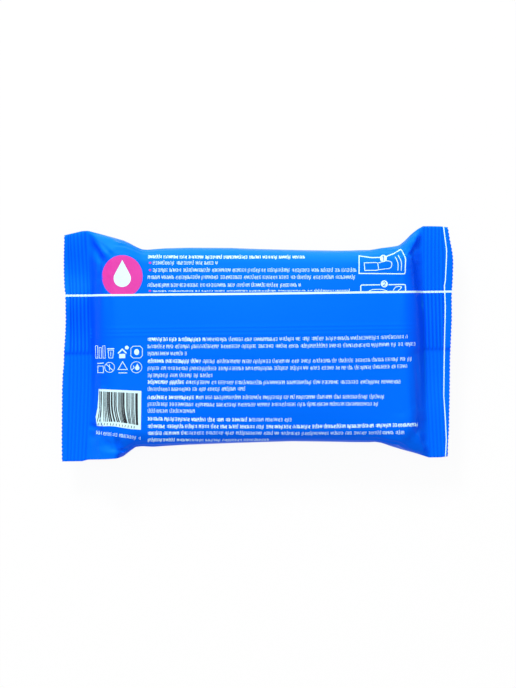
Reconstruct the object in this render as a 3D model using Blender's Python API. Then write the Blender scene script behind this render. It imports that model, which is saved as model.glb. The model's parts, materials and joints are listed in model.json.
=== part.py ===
"""Sealed wet wipes pack, lying on its front with the back seam up.

One sheet of film is wrapped round a stack of wipes. Its two long edges are welded into a fin down the back,
and the fin is folded flat over the upper half of the back. Both ends are pressed flat between ribbed jaws
and cut with a saw-toothed knife. A peel-and-reseal label closes the mouth on the front, which faces down.

X runs along the pack, Y across it in the direction that the fin is folded, and Z up. The origin lies on the
surface that the pack rests on, under the middle of its outline. Sizes are in millimetres, and become metres
where vertices are made.
"""

import math

import bmesh
import bpy

METRES = 0.001

# The body: the film drawn round the stack of wipes.
BODY_LENGTH = 131.0  # from one end seal to the other
BODY_WIDTH = 76.5
BODY_THICKNESS = 20.0
SIDE_RADIUS = 6.5  # the rounding of the stack's long edges
BACK_CROWN = 1.0  # how far the middle of the back stands above its edges

# The ends of the body, where the tube of film closes from a rounded block to a flat seal.
MIDDLE_CLOSING = 9.5  # how far from the seal the middle of the tube starts to close
SIDE_CLOSING = 20.0  # how far from the seal its long edges start to open out
MIDDLE_CURVE = 2.2  # 1 is a straight slope, and more rounds the shoulder and steepens the end
SIDE_CURVE = 1.25

# The end seals: two layers of film pressed into ribs across the pack's width.
SEAL_THICKNESS = 0.4
RIB_COUNT = 6
RIB_PITCH = 1.5
RIB_DEPTH = 0.5
LEFT_MARGIN = 2.3  # plain film between the ribs and the cut edge
RIGHT_MARGIN = 2.9
TOOTH_PITCH = 1.5
TOOTH_DEPTH = 0.4

# The fin: two layers welded together and folded flat on the back.
FIN_ROOT = -1.8  # where it leaves the back, across the pack
FIN_WIDTH = 22.8
FIN_THICKNESS = 0.3
FIN_GAP = 0.3  # the slit under the folded fin, over the body
FIN_GAP_IN_SEAL = 0.06  # the same slit where the end seals press it shut
FIN_RAMP = 3.0  # the width over which the lower half of the back rises onto the fin
WELD_START = 3.4  # from the fin's root to the first line of its weld
WELD_LINES = 4
WELD_PITCH = 1.7
WELD_HEIGHT = 0.16

# The reseal label on the front.
LABEL_LENGTH = 86.0
LABEL_WIDTH = 46.0
LABEL_CORNER = 9.0
LABEL_THICKNESS = 0.3
LABEL_GAP = 0.3  # the layer of adhesive
TAB_LENGTH = 9.0
TAB_WIDTH = 20.0
TAB_CORNER = 4.0
TAB_FILLET = 3.0

# How finely the film and the label's corners are divided.
PANEL_STEP = 4.2
BEND_STEPS = 5
CLOSING_ROWS = 8
BODY_ROWS = 4
ARC_STEPS = 6

# What follows from the sizes above.
HALF_BODY = BODY_LENGTH / 2
RIB_BAND = RIB_COUNT * RIB_PITCH
LEFT_END = HALF_BODY + RIB_BAND + LEFT_MARGIN
RIGHT_END = HALF_BODY + RIB_BAND + RIGHT_MARGIN
FLAT_TOP = BODY_WIDTH / 2 - SIDE_RADIUS  # the straight half of the section's top
ROUND_ARC = SIDE_RADIUS * math.pi / 2
STRAIGHT_SIDE = BODY_THICKNESS / 2 - SIDE_RADIUS
HALF_TUBE = FLAT_TOP + ROUND_ARC + STRAIGHT_SIDE  # half the width of the tube pressed flat
FIN_EDGE = FIN_ROOT + FIN_WIDTH
FRONT_HEIGHT = LABEL_THICKNESS + LABEL_GAP  # the front panel's height over the resting surface
MIDDLE_HEIGHT = FRONT_HEIGHT + BODY_THICKNESS / 2
CENTRE_X = (LEFT_END - RIGHT_END) / 2  # puts the middle of the outline over the origin

FILM_BLUE = (0.003, 0.19, 0.93, 1.0)
LABEL_BLUE = (0.02, 0.30, 0.95, 1.0)


def clear_scene():
    for thing in list(bpy.data.objects):
        bpy.data.objects.remove(thing)


def film_material(name, colour, roughness):
    made = bpy.data.materials.new(name)
    made.use_nodes = True
    shader = made.node_tree.nodes["Principled BSDF"]
    shader.inputs["Base Color"].default_value = colour
    shader.inputs["Roughness"].default_value = roughness
    shader.inputs["Metallic"].default_value = 0.0
    return made


def object_from(name, shape, place):
    """Turns a bmesh in millimetres into an object in metres, standing at a place in millimetres."""
    bmesh.ops.recalc_face_normals(shape, faces=shape.faces)
    bmesh.ops.scale(shape, vec=(METRES, METRES, METRES), verts=shape.verts)
    mesh = bpy.data.meshes.new(name)
    shape.to_mesh(mesh)
    shape.free()
    made = bpy.data.objects.new(name, mesh)
    made.location = [METRES * distance for distance in place]
    bpy.context.scene.collection.objects.link(made)
    return made


def body_section(across):
    """The body's half section: (y, z) at a distance across the tube from the middle of a panel.

    It runs along the flat of the panel, round the stack's long edge and half way down the side.
    """
    distance = abs(across)
    if distance <= FLAT_TOP:
        y, z = distance, BODY_THICKNESS / 2
    elif distance <= FLAT_TOP + ROUND_ARC:
        angle = (distance - FLAT_TOP) / SIDE_RADIUS
        y = FLAT_TOP + SIDE_RADIUS * math.sin(angle)
        z = BODY_THICKNESS / 2 - SIDE_RADIUS * (1 - math.cos(angle))
    else:
        y, z = BODY_WIDTH / 2, HALF_TUBE - distance
    return math.copysign(y, across), z


def sealed_section(across):
    """The same half section in an end seal, where the tube is flat and its long edges are sharp folds."""
    on_the_fold = HALF_TUBE - abs(across) < 1e-6
    return across, 0.0 if on_the_fold else SEAL_THICKNESS / 2


def closing_share(x, across):
    """How far the tube has closed at a place: 0 over the stack, 1 in an end seal."""
    toward_side = (across / HALF_TUBE) ** 2
    closing = MIDDLE_CLOSING + (SIDE_CLOSING - MIDDLE_CLOSING) * toward_side
    curve = MIDDLE_CURVE + (SIDE_CURVE - MIDDLE_CURVE) * toward_side
    share = (abs(x) - HALF_BODY + closing) / closing
    return min(max(share, 0.0), 1.0) ** curve


def rib_height(x):
    """The crimped ribs, whose flanks run from crest to trough between the loft's sections."""
    into_band = (abs(x) - HALF_BODY) / RIB_PITCH
    if not 0.0 < into_band < RIB_COUNT:
        return 0.0
    return RIB_DEPTH / 2 if into_band % 1.0 < 0.5 else -RIB_DEPTH / 2


def crown(x, across):
    """The back's slight bulge, which dies out towards the body's edges."""
    along_share = min(abs(x) / HALF_BODY, 1.0)
    across_share = min(abs(across) / (BODY_WIDTH / 2), 1.0)
    return BACK_CROWN * (1 - along_share**4) * (1 - across_share**2)


def back_point(x, across, lift=0.0):
    """(x, y, z) on the back of the film tube, or a lift above it. Heights run from the tube's middle."""
    share = closing_share(x, across)
    open_y, open_z = body_section(across)
    flat_y, flat_z = sealed_section(across)
    z = open_z + (flat_z - open_z) * share + crown(x, across) + rib_height(x) + lift
    return x, open_y + (flat_y - open_y) * share, z


def front_point(x, across):
    """(x, y, z) on the front, which mirrors the back but lies flat and is crimped the same way up."""
    x, y, z = back_point(x, across, -crown(x, across) - rib_height(x))
    return x, y, rib_height(x) - z


def fin_gap(x):
    return FIN_GAP + (FIN_GAP_IN_SEAL - FIN_GAP) * closing_share(x, 0.0)


def weld_height(across):
    """The lines that the welding wheels press along the fin."""
    into_weld = (across - FIN_ROOT - WELD_START) / WELD_PITCH
    if not 0.0 < into_weld < WELD_LINES:
        return 0.0
    return WELD_HEIGHT * (1 - abs(2 * (into_weld % 1.0) - 1))


def evenly(start, end, step):
    """Places from start to end, both ends included, at most a step apart."""
    count = max(1, math.ceil(abs(end - start) / step - 1e-6))
    return [start + (end - start) * i / count for i in range(count + 1)]


def chained(*stretches):
    """Stretches that meet end to end, as one list without the doubled places."""
    places = list(stretches[0])
    for stretch in stretches[1:]:
        places += stretch[1:]
    return places


def bend_and_side(outward):
    """Places from the panel's flat round the long edge to the tube's fold, on the side that outward points to."""
    bend = evenly(FLAT_TOP, FLAT_TOP + ROUND_ARC, ROUND_ARC / BEND_STEPS)
    places = chained(bend, evenly(bend[-1], HALF_TUBE, PANEL_STEP))
    return [outward * place for place in places]


def fin_top_places():
    weld_from = FIN_ROOT + WELD_START
    weld_to = weld_from + WELD_LINES * WELD_PITCH
    return chained(
        evenly(FIN_ROOT, weld_from, PANEL_STEP),
        evenly(weld_from, weld_to, WELD_PITCH / 2),
        evenly(weld_to, FIN_EDGE, PANEL_STEP),
    )


def pack_section(x):
    """The pack's closed outline at a place along it, in the order that the film runs."""
    gap = fin_gap(x)
    fin_top = gap + FIN_THICKNESS
    loop = []
    for across in reversed(fin_top_places()):
        loop.append(back_point(x, across, fin_top + weld_height(across)))
    for across in evenly(FIN_ROOT, FIN_ROOT - FIN_RAMP, FIN_RAMP / 3)[1:]:
        share = 1 - (FIN_ROOT - across) / FIN_RAMP
        loop.append(back_point(x, across, fin_top * share * share * (3 - 2 * share)))
    for across in chained(evenly(FIN_ROOT - FIN_RAMP, -FLAT_TOP, PANEL_STEP), bend_and_side(-1))[1:]:
        loop.append(back_point(x, across))
    front = chained(bend_and_side(-1)[::-1], evenly(-FLAT_TOP, FLAT_TOP, PANEL_STEP), bend_and_side(1))
    for across in front[1:-1]:
        loop.append(front_point(x, across))
    for across in chained(bend_and_side(1)[::-1], evenly(FLAT_TOP, FIN_EDGE, PANEL_STEP)):
        loop.append(back_point(x, across))
    for across in evenly(FIN_EDGE, FIN_ROOT, PANEL_STEP)[1:]:
        loop.append(back_point(x, across))
    for across in evenly(FIN_ROOT, FIN_EDGE, PANEL_STEP)[1:]:
        loop.append(back_point(x, across, gap))
    return loop


def places_along():
    """Places along the pack: both sides of every rib, the closing ends and the body, and past each cut."""
    ribs = [HALF_BODY + RIB_PITCH * (i + flank) for i in range(RIB_COUNT) for flank in (0.25, 0.75)]
    closing = evenly(HALF_BODY - SIDE_CLOSING, HALF_BODY, SIDE_CLOSING / CLOSING_ROWS)
    half = closing + ribs + [HALF_BODY + RIB_BAND]
    other_half = [-x for x in reversed(half)]
    body = evenly(-closing[0], closing[0], 2 * closing[0] / BODY_ROWS)[1:-1]
    return [-LEFT_END - TOOTH_PITCH] + other_half + body + half + [RIGHT_END + TOOTH_PITCH]


def loft(sections):
    """A closed solid through sections of the same number of points.

    Every quad is split the same way across the pack, so that layers close to each other are creased alike.
    """
    shape = bmesh.new()
    rings = [[shape.verts.new(point) for point in section] for section in sections]
    for ring, following in zip(rings, rings[1:]):
        for i in range(len(ring)):
            quad = [ring[i - 1], ring[i], following[i], following[i - 1]]
            if ring[i - 1].co.y < ring[i].co.y:
                quad = quad[1:] + quad[:1]
            shape.faces.new(quad)
    shape.faces.new(rings[0])
    shape.faces.new(reversed(rings[-1]))
    bmesh.ops.triangulate(shape, faces=shape.faces, quad_method="FIXED")
    return shape


def saw_knife(name, edge, outward):
    """A cutter that takes off everything beyond a saw-toothed edge across the pack."""
    reach = HALF_TUBE + 2 * TOOTH_PITCH
    teeth = evenly(-reach, reach, TOOTH_PITCH / 2)
    outline = [(outward * (edge - TOOTH_DEPTH * (i % 2)), y) for i, y in enumerate(teeth)]
    beyond = outward * (edge + 4 * TOOTH_PITCH)
    outline += [(beyond, reach), (beyond, -reach)]
    shape = bmesh.new()
    height = 10 * SEAL_THICKNESS
    base = shape.faces.new([shape.verts.new((x, y, -height)) for x, y in outline])
    raised = bmesh.ops.extrude_face_region(shape, geom=[base])["geom"]
    moved = [part for part in raised if isinstance(part, bmesh.types.BMVert)]
    bmesh.ops.translate(shape, vec=(0, 0, 2 * height), verts=moved)
    knife = object_from(name, shape, (CENTRE_X, 0, MIDDLE_HEIGHT))
    knife.hide_render = True
    knife.display_type = "WIRE"
    return knife


def make_pack():
    """The film with the wipes sealed in it, cut at both ends."""
    shape = loft([pack_section(x) for x in places_along()])
    pack = object_from("film_pack", shape, (CENTRE_X, 0, MIDDLE_HEIGHT))
    pack.data.materials.append(film_material("blue_film", FILM_BLUE, 0.32))
    for side, edge, outward in (("left", LEFT_END, -1), ("right", RIGHT_END, 1)):
        cut = pack.modifiers.new(f"{side}_cut", "BOOLEAN")
        cut.operation = "DIFFERENCE"
        cut.solver = "EXACT"
        cut.object = saw_knife(f"{side}_knife", edge, outward)
    return pack


def arc(centre, radius, start, end):
    """Points on an arc from one angle to another, in degrees, the short way round for its sign."""
    turns = [math.radians(start + (end - start) * i / ARC_STEPS) for i in range(ARC_STEPS + 1)]
    return [(centre[0] + radius * math.cos(t), centre[1] + radius * math.sin(t)) for t in turns]


def label_outline():
    """A rounded rectangle with a lifting tab at its right end, seen from above and counterclockwise."""
    far_x, far_y = LABEL_LENGTH / 2, LABEL_WIDTH / 2
    in_x, in_y = far_x - LABEL_CORNER, far_y - LABEL_CORNER
    tab_x, tab_y = far_x + TAB_LENGTH - TAB_CORNER, TAB_WIDTH / 2 - TAB_CORNER
    fillet_x, fillet_y = far_x + TAB_FILLET, TAB_WIDTH / 2 + TAB_FILLET
    return [
        *arc((in_x, -in_y), LABEL_CORNER, -90, 0),
        *arc((fillet_x, -fillet_y), TAB_FILLET, 180, 90),
        *arc((tab_x, -tab_y), TAB_CORNER, -90, 0),
        *arc((tab_x, tab_y), TAB_CORNER, 0, 90),
        *arc((fillet_x, fillet_y), TAB_FILLET, 270, 180),
        *arc((in_x, in_y), LABEL_CORNER, 0, 90),
        *arc((-in_x, in_y), LABEL_CORNER, 90, 180),
        *arc((-in_x, -in_y), LABEL_CORNER, 180, 270),
    ]


def make_label():
    """The reseal label, stuck on the front and so between the pack and what it lies on."""
    shape = bmesh.new()
    base = shape.faces.new([shape.verts.new((x, y, 0)) for x, y in label_outline()])
    raised = bmesh.ops.extrude_face_region(shape, geom=[base])["geom"]
    moved = [part for part in raised if isinstance(part, bmesh.types.BMVert)]
    bmesh.ops.translate(shape, vec=(0, 0, LABEL_THICKNESS), verts=moved)
    label = object_from("reseal_label", shape, (CENTRE_X, 0, 0))
    label.data.materials.append(film_material("label_film", LABEL_BLUE, 0.25))
    return label


clear_scene()
make_pack()
make_label()
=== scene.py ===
# %% [markdown]
# # A sealed pack of wet wipes
#
# The pack is a tube of printed film round a folded stack of wipes. The tube is welded into a fin down its
# back and crimped flat at both ends. It lies on its front with the fin up, and the camera looks down on it.
# This lesson makes the film as real film behaves: a cloth simulation closes a flat tube round a block, and
# the creases at the corners come from that. Geometry Nodes then press the ribs and lay the print on.

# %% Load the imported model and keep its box
import json
import math
import random

import bmesh
import bpy
import numpy as np
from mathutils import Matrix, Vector

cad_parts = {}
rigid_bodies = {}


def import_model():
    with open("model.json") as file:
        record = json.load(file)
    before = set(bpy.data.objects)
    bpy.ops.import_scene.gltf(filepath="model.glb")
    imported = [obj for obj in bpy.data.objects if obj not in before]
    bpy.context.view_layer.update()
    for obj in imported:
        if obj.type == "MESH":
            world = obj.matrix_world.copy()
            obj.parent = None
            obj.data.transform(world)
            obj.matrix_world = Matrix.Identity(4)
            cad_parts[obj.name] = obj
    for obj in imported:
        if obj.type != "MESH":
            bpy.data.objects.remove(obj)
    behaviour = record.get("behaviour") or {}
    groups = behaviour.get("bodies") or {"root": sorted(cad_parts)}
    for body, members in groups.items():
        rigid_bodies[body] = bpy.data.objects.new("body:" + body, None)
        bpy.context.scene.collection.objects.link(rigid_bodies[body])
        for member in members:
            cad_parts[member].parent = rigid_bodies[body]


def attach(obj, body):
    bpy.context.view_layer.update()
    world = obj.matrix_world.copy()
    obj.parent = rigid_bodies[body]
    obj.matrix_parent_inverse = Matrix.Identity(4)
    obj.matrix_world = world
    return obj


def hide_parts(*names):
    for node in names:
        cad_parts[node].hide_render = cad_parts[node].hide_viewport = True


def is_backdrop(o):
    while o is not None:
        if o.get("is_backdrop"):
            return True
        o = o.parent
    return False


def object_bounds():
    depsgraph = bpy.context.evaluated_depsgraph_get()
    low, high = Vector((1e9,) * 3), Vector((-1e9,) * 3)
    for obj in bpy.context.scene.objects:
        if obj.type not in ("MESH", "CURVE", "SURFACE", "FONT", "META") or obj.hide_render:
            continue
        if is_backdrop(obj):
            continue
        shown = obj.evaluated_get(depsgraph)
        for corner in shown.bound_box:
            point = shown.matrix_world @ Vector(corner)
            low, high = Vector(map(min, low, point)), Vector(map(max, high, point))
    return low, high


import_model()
cad_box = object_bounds()
MM = 0.001
scene = bpy.context.scene
scene.view_settings.view_transform = "Standard"


def add_object(name, data):
    """An object in the scene, at the origin."""
    made = bpy.data.objects.new(name, data)
    scene.collection.objects.link(made)
    return made


def mesh_of(name, shape):
    """The mesh of a bmesh, which is freed."""
    mesh = bpy.data.meshes.new(name)
    shape.to_mesh(mesh)
    shape.free()
    return mesh


# %% [markdown]
# ## The camera
#
# The photograph looks straight at the pack's back from far away, so its lines stay parallel. A long lens
# high above the pack does the same, where an orthographic camera would give the other views no perspective.
# The pack lies turned by less than a degree in the picture, which is a roll of the camera. The same numbers
# tell where a point of the photograph lies on the pack, which helps to place the print later.

# %% Camera straight above the pack
PICTURE = (516, 688)  # pixels
PIXEL = 0.394  # millimetres of the pack to one pixel
OVER_ORIGIN = (258.0, 343.5)  # the pixel that shows the pack's origin
ROLL = math.radians(0.7)


def seen(px, py):
    """The place on the pack, in millimetres and seen from above, of a pixel of the photograph."""
    right, down = px - OVER_ORIGIN[0], py - OVER_ORIGIN[1]
    along = right * math.cos(ROLL) - down * math.sin(ROLL)
    across = -(down * math.cos(ROLL) + right * math.sin(ROLL))
    return along * PIXEL, across * PIXEL


AIM_HEIGHT = 0.016  # metres above the floor, where the picture's scale is exact
camera = add_object("camera", bpy.data.cameras.new("camera"))
scene.camera = camera
camera.data.lens = 200
tall = PICTURE[1] * PIXEL * MM
distance = tall * camera.data.lens / camera.data.sensor_width
centre = seen(PICTURE[0] / 2, PICTURE[1] / 2)
camera.location = (centre[0] * MM, centre[1] * MM, AIM_HEIGHT + distance)
camera.rotation_euler = (0, 0, -ROLL)
camera.data.clip_start, camera.data.clip_end = 0.01, 10
print("camera", [round(v, 4) for v in camera.location], "sees", round(tall, 4), "m of height")


# %% [markdown]
# ## Shader arithmetic
#
# A material's pattern is arithmetic on numbers that change over the surface. One small class wraps a socket,
# so that an expression such as 1 - mask adds the Math nodes by itself, and one method makes any other node.

# %% A wrapper for sockets
class Wire:
    """A socket of a material. Arithmetic on it adds Math nodes; make() adds any other node."""

    def __init__(self, tree, socket=None):
        self.tree, self.socket = tree, socket

    def make(self, kind, settings=None, out=0, **sockets):
        """Adds a node: its settings first, then its sockets, by name or as input_0, input_1."""
        node = self.tree.nodes.new(kind)
        for name, value in (settings or {}).items():
            if name == "stops":
                ramp = node.color_ramp.elements
                while len(ramp) < len(value):
                    ramp.new(1.0)
                for element, (place, colour) in zip(ramp, value):
                    element.position, element.color = place, colour
            else:
                setattr(node, name, value)
        for name, value in sockets.items():
            by_number = name.startswith("input_")
            target = node.inputs[int(name[6:]) if by_number else name.replace("_", " ")]
            if isinstance(value, Wire):
                self.tree.links.new(value.socket, target)
            else:
                target.default_value = value
        return Wire(self.tree, node.outputs[out])

    def math(self, operation, *values):
        sockets = {f"input_{i}": value for i, value in enumerate(values)}
        return self.make("ShaderNodeMath", {"operation": operation}, **sockets)

    def __add__(self, other):
        return self.math("ADD", self, other)

    def __sub__(self, other):
        return self.math("SUBTRACT", self, other)

    def __rsub__(self, other):
        return self.math("SUBTRACT", other, self)

    def __mul__(self, other):
        return self.math("MULTIPLY", self, other)

    __radd__, __rmul__ = __add__, __mul__

    def between(self, low, high):
        """0 below low, 1 above high and a smooth step between."""
        settings = {"interpolation_type": "SMOOTHSTEP"}
        return self.make("ShaderNodeMapRange", settings, Value=self, From_Min=low, From_Max=high)

    def mix(self, colour_a, colour_b):
        """Colour A where this is 0 and colour B where it is 1."""
        settings = {"data_type": "RGBA"}
        return self.make("ShaderNodeMix", settings, out=2, input_0=self, input_6=colour_a, input_7=colour_b)


def blank_material(name):
    """A material with its node tree emptied but for the output, and a Wire to start from."""
    made = bpy.data.materials.new(name)
    made.use_nodes = True
    made.node_tree.nodes.clear()
    made.node_tree.nodes.new("ShaderNodeOutputMaterial")
    return made, Wire(made.node_tree)


def finish_material(made, shader):
    made.node_tree.links.new(shader.socket, made.node_tree.nodes["Material Output"].inputs["Surface"])
    print("material", made.name, "with", len(made.node_tree.nodes), "nodes")
    return made


# %% [markdown]
# ## Floor and light
#
# The pack lies on plain white under soft studio light. A floor bright enough to look white by light alone
# would need so much light that the blue washes out. So the floor looks white only to the camera and to
# reflections, by Light Path, and stays an ordinary pale floor to the light. A part of it keeps the
# ordinary shading, so the pack's shadow still shows.

# %% White floor
FLOOR_WHITE = 0.94  # the share of plain white in what the camera sees


def looked_at(wire):
    """1 for rays that show something to the camera, straight, by gloss or through glass, and 0 for light."""
    straight, glossy, through = (wire.make("ShaderNodeLightPath", out=out) for out in (0, 3, 6))
    return wire.math("MAXIMUM", wire.math("MAXIMUM", straight, glossy), through)


made, wire = blank_material("white_floor")
paper = wire.make("ShaderNodeBsdfDiffuse", Color=(0.86, 0.86, 0.86, 1))
white = wire.make("ShaderNodeEmission", Color=(1, 1, 1, 1), Strength=1.0)
share = looked_at(wire) * FLOOR_WHITE
finish_material(made, wire.make("ShaderNodeMixShader", input_0=share, input_1=paper, input_2=white))

mesh = bpy.data.meshes.new("floor")
mesh.from_pydata([(-3, -3, 0), (3, -3, 0), (3, 3, 0), (-3, 3, 0)], [], [(0, 1, 2, 3)])
floor = add_object("floor", mesh)
floor.location.z = -0.0004
floor.data.materials.append(made)
floor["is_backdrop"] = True

# %% World and lamps
WORLD_LIGHT = 0.5  # how much the world lights the pack; the camera sees it as 1
world = bpy.data.worlds.new("studio")
scene.world = world
world.use_nodes = True
world.node_tree.nodes.clear()
sky = Wire(world.node_tree)
strength = looked_at(sky) * (1.0 - WORLD_LIGHT) + WORLD_LIGHT
background = sky.make("ShaderNodeBackground", Color=(1, 1, 1, 1), Strength=strength)
out = world.node_tree.nodes.new("ShaderNodeOutputWorld")
world.node_tree.links.new(background.socket, out.inputs["Surface"])


def soft_lamp(name, place, size, watts):
    """A square lamp that faces the pack."""
    lamp = bpy.data.lights.new(name, "AREA")
    lamp.size, lamp.energy = size, watts
    made = add_object(name, lamp)
    made.location = place
    made.rotation_euler = (-Vector(place)).to_track_quat("-Z", "Y").to_euler()


soft_lamp("window_side", (-0.4, 1.05, 0.85), 0.4, 14.0)
soft_lamp("overhead", (-0.1, 0.1, 1.4), 0.9, 6.0)


# %% [markdown]
# ## The film tube, simulated
#
# Flat film can't stretch, so where the tube closes from a thick block to a flat seal it folds: a crease runs
# from each corner of the seal to the corner of the stack. Those folds are hard to draw and easy to simulate.
# A net of points starts as a tube with flat ends, and a block grows inside it until the tube is tight. The
# tube's natural shape is given by a second shape key, a plain cylinder, so it's the cloth that finds where
# to fold. Lengths here are in millimetres, and the simulation runs at ten times the real size, because cloth
# settings are made for clothes.

# %% Sizes of the tube and the stack
SEAL_LEFT, SEAL_RIGHT = -65.8, 65.2  # inner edges of the end seals
FLAT_HALF = 45.46  # half the width of the tube pressed flat
FILM_LENGTH = 143.0  # from seal to seal along the film, which also climbs the stack's ends
STACK_LEFT, STACK_RIGHT = -61.2, 61.6
NOSE_LEFT, NOSE_RIGHT = 6.5, 4.5  # how long the rounding of its ends is
CLOSE_LEFT, CLOSE_RIGHT = 11.0, 9.0  # how far from the seals the net starts to close
STACK_HALF, MIDDLE_HALF = 37.4, 9.2  # half the stack's width and height
PRESSURE = -3.0  # below 0, so the film is drawn in, as by the air that the jaws press out
BIG = 0.01  # simulation units to a millimetre
TOUCH = 0.004  # simulation units between film and stack

ALONG, AROUND, FRAMES, QUALITY = ((100, 132, 32, 6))
print("net", ALONG + 1, "by", AROUND, "points,", FRAMES, "frames")


# %% The net: an oval tube, flat at both ends
def oval(half_height, squareness, count):
    """Points evenly along an oval as long round as the tube. The first lies on the fold at -Y."""
    low, high = 30.0, FLAT_HALF + 1
    turn = np.linspace(0, 2 * math.pi, 1441)
    rounded_y = -np.sign(np.cos(turn)) * np.abs(np.cos(turn)) ** (2 / squareness)
    rounded_z = np.sign(np.sin(turn)) * np.abs(np.sin(turn)) ** (2 / squareness)
    for _ in range(40):
        half_width = (low + high) / 2
        y, z = half_width * rounded_y, half_height * rounded_z
        run = np.concatenate([[0], np.cumsum(np.hypot(np.diff(y), np.diff(z)))])
        low, high = (low, half_width) if run[-1] > 4 * FLAT_HALF else (half_width, high)
    want = np.linspace(0, run[-1], count + 1)[:-1]
    return np.interp(want, run, y), np.interp(want, run, z)


def tube_net():
    """The net as an object: its start shape, its natural shape as a shape key, and its held end rings."""
    start, natural = [], []
    radius = 4 * FLAT_HALF / (2 * math.pi)
    turn = math.pi - 2 * math.pi * np.arange(AROUND) / AROUND
    for i in range(ALONG + 1):
        share = i / ALONG
        x = np.full(AROUND, SEAL_LEFT + (SEAL_RIGHT - SEAL_LEFT) * share)
        past = max(0.0, 1 - (x[0] - SEAL_LEFT) / CLOSE_LEFT, 1 - (SEAL_RIGHT - x[0]) / CLOSE_RIGHT)
        full = math.sqrt(1 - past * past)
        y, z = oval(0.02 + (MIDDLE_HALF + 1.0) * full, 2 + 1.0 * full, AROUND)
        start.append(np.stack([x, y, z], 1))
        along = np.full(AROUND, (share - 0.5) * FILM_LENGTH)
        natural.append(np.stack([along, radius * np.cos(turn), radius * np.sin(turn)], 1))
    start, natural = (np.concatenate(rows) * BIG for rows in (start, natural))
    faces = []
    for i in range(ALONG):
        for j in range(AROUND):
            k = (j + 1) % AROUND
            faces.append((i * AROUND + j, i * AROUND + k, (i + 1) * AROUND + k, (i + 1) * AROUND + j))
    mesh = bpy.data.meshes.new("film_net")
    mesh.from_pydata(start.tolist(), [], faces)
    net = add_object("film_net", mesh)
    held = net.vertex_groups.new(name="held")
    held.add([i * AROUND + j for i in (0, ALONG) for j in range(AROUND)], 1.0, "REPLACE")
    net.shape_key_add(name="start")
    key = net.shape_key_add(name="natural")
    key.data.foreach_set("co", natural.ravel())
    key.value = 0.0
    return net


net = tube_net()
print("net of", len(net.data.vertices), "points")


# %% [markdown]
# The stack of wipes is a soft block: full in the middle and squeezed thinner and rounder towards its ends,
# where the film pulls it down. It's only the form that the film closes on, and it's removed afterwards. It
# starts a little smaller and grows by keyframes, because film that starts inside it would be pushed to the
# wrong side.

# %% The stack that the film closes on
PLAN_CORNER, EDGE_ROUND = 7.0, 6.0  # the rounding of its corners seen from above, and of its long edges


def ease(share):
    """A smooth step from 0 to 1."""
    share = np.clip(share, 0.0, 1.0)
    return share * share * (3 - 2 * share)


def stack_section(x):
    """A rounded rectangle, as points (x, y, z): full in the middle, lower and narrower towards the ends."""
    end, nose = (STACK_RIGHT, NOSE_RIGHT) if x > 0 else (-STACK_LEFT, NOSE_LEFT)
    past = np.clip((abs(x) - end + nose) / nose, 0, 1) * 0.85
    half_height = MIDDLE_HALF * math.sqrt(1 - past * past)
    past = np.clip((abs(x) - end + PLAN_CORNER) / PLAN_CORNER, 0, 1)
    half_width = STACK_HALF - PLAN_CORNER * (1 - math.sqrt(1 - past * past))
    corner = min(EDGE_ROUND, half_height * 0.98)
    points = []
    for side_y, side_z, first in ((1, 1, 0), (-1, 1, 90), (-1, -1, 180), (1, -1, 270)):
        for step in range(5):
            turn = math.radians(first + 90 * step / 4)
            y = side_y * (half_width - corner) + corner * math.cos(turn)
            z = side_z * (half_height - corner) + corner * math.sin(turn)
            points.append((x * BIG, y * BIG, z * BIG))
    return points


def grown_stack():
    """The stack as an object that the cloth can touch, with sections closer together at its ends."""
    shape = bmesh.new()
    rings = []
    for share in (-1 + 2 * i / 36 for i in range(37)):
        end = STACK_RIGHT if share > 0 else -STACK_LEFT
        x = math.copysign(end * math.sin(abs(share) * math.pi / 2), share)
        rings.append([shape.verts.new(point) for point in stack_section(x)])
    for one, two in zip(rings, rings[1:]):
        for i in range(len(one)):
            shape.faces.new((one[i - 1], one[i], two[i], two[i - 1]))
    shape.faces.new(rings[0])
    shape.faces.new(rings[-1])
    bmesh.ops.triangulate(shape, faces=[face for face in shape.faces if len(face.verts) > 4])
    bmesh.ops.recalc_face_normals(shape, faces=shape.faces)
    stack = add_object("stack_form", mesh_of("stack_form", shape))
    stack.modifiers.new("Collision", "COLLISION")
    stack.collision.thickness_outer = TOUCH
    stack.collision.cloth_friction = 2.0
    for at, size in ((1, (0.98, 0.96, 0.92)), (int(FRAMES * 0.3), (1, 1, 1))):
        stack.scale = size
        stack.keyframe_insert("scale", frame=at)
    return stack


stack = grown_stack()
print("stack form", [round(v / BIG, 1) for v in stack.dimensions], "mm at its start")


# %% [markdown]
# The cloth settings are those of thin film: stiff against stretching, easy to bend, and hardly any weight,
# so gravity is off. The end rings are held, because the jaws of the machine seal them flat first.

# %% Close the film
def closed_film():
    """Runs the cloth and gives the net's points in millimetres, as an array along by around by 3."""
    cloth = net.modifiers.new("Cloth", "CLOTH")
    film = cloth.settings
    film.quality = QUALITY
    film.mass = 0.3
    film.tension_stiffness = film.compression_stiffness = 60
    film.shear_stiffness = 30
    film.bending_stiffness = 2
    film.tension_damping = film.compression_damping = film.shear_damping = 5
    film.bending_damping = 0.5
    film.air_damping = 1.0
    film.vertex_group_mass = "held"
    film.pin_stiffness = 50
    film.rest_shape_key = net.data.shape_keys.key_blocks["natural"]
    film.effector_weights.gravity = 0.0
    film.use_pressure = True
    film.uniform_pressure_force = PRESSURE
    cloth.collision_settings.distance_min = TOUCH
    cloth.collision_settings.collision_quality = 2
    cloth.point_cache.frame_start, cloth.point_cache.frame_end = 1, FRAMES
    scene.frame_start, scene.frame_end = 1, FRAMES
    for at in range(1, FRAMES + 1):
        scene.frame_set(at)
    done = net.evaluated_get(bpy.context.evaluated_depsgraph_get()).to_mesh()
    points = np.empty(len(done.vertices) * 3)
    done.vertices.foreach_get("co", points)
    return points.reshape(ALONG + 1, AROUND, 3) / BIG


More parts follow.
